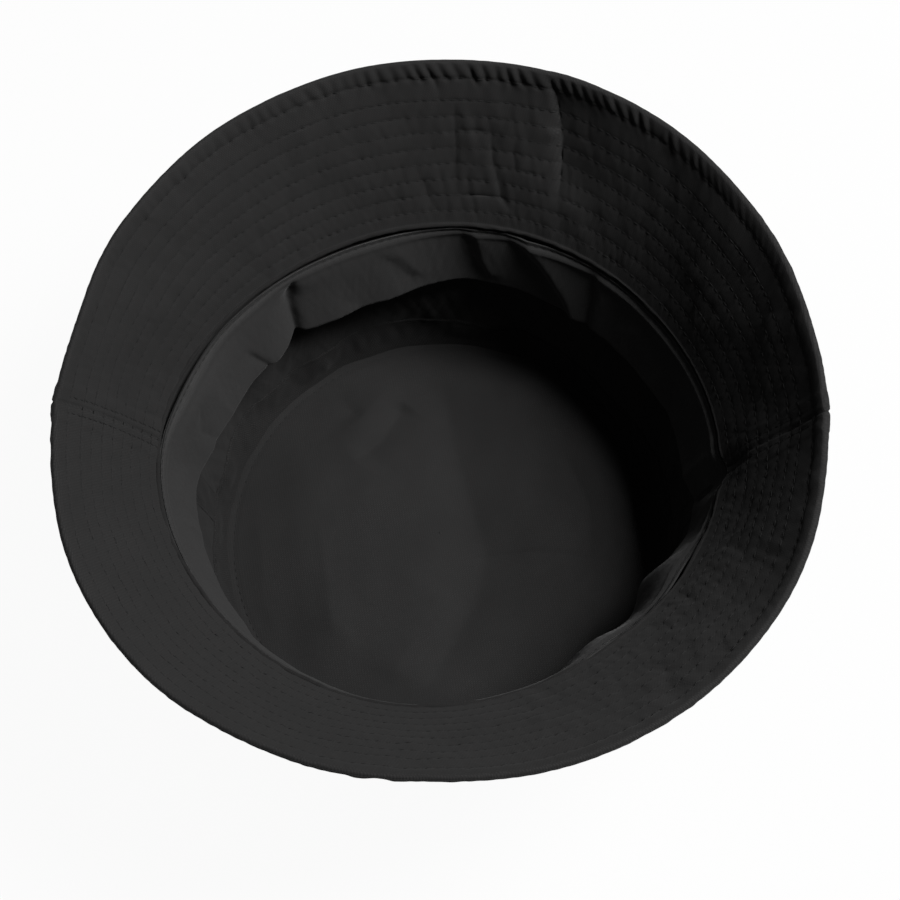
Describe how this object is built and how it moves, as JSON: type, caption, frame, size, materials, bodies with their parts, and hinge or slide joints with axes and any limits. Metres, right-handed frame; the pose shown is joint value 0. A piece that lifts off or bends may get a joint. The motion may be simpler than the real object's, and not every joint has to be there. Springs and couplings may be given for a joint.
{
  "type": "bucket hat",
  "caption": "Plain black cotton-twill bucket hat, stored upside down: oval crown, stitched flared brim and an inner sweatband.",
  "frame": {"origin": "middle of the crown tip's outer face, where the upturned hat stands", "axes": "+Z from the crown's tip to the brim's edge, +X through the right side seam, -Y to the front of the hat"},
  "size_m": [0.244, 0.2438, 0.133],
  "materials": {
    "black_twill": "matt cotton twill",
    "brim_underside_twill": "matt cotton twill",
    "sweatband_twill": "fine smooth twill with a slight lustre",
    "seam_tape": "matt bias tape",
    "interlining": "stiff non-woven",
    "black_thread": "spun polyester thread"
  },
  "bodies": {
    "root": {"top_panel": "black_twill", "crown_side_front": "black_twill", "crown_side_back": "black_twill", "crown_seam_tape": "seam_tape", "side_seam_tape_left": "seam_tape", "side_seam_tape_right": "seam_tape", "brim_top_side_front": "black_twill", "brim_top_side_back": "black_twill", "brim_interlining_front": "interlining", "brim_interlining_back": "interlining", "brim_underside_front": "brim_underside_twill", "brim_underside_back": "brim_underside_twill", "sweatband": "sweatband_twill", "sweatband_piping": "sweatband_twill", "brim_topstitch_thread": "black_thread", "brim_edge_thread": "black_thread", "crown_tip_thread": "black_thread", "crown_joint_thread": "black_thread", "sweatband_thread": "black_thread", "crown_side_thread_left": "black_thread", "crown_side_thread_right": "black_thread", "brim_seam_thread_left": "black_thread", "brim_seam_thread_right": "black_thread"}
  },
  "joints": []
}
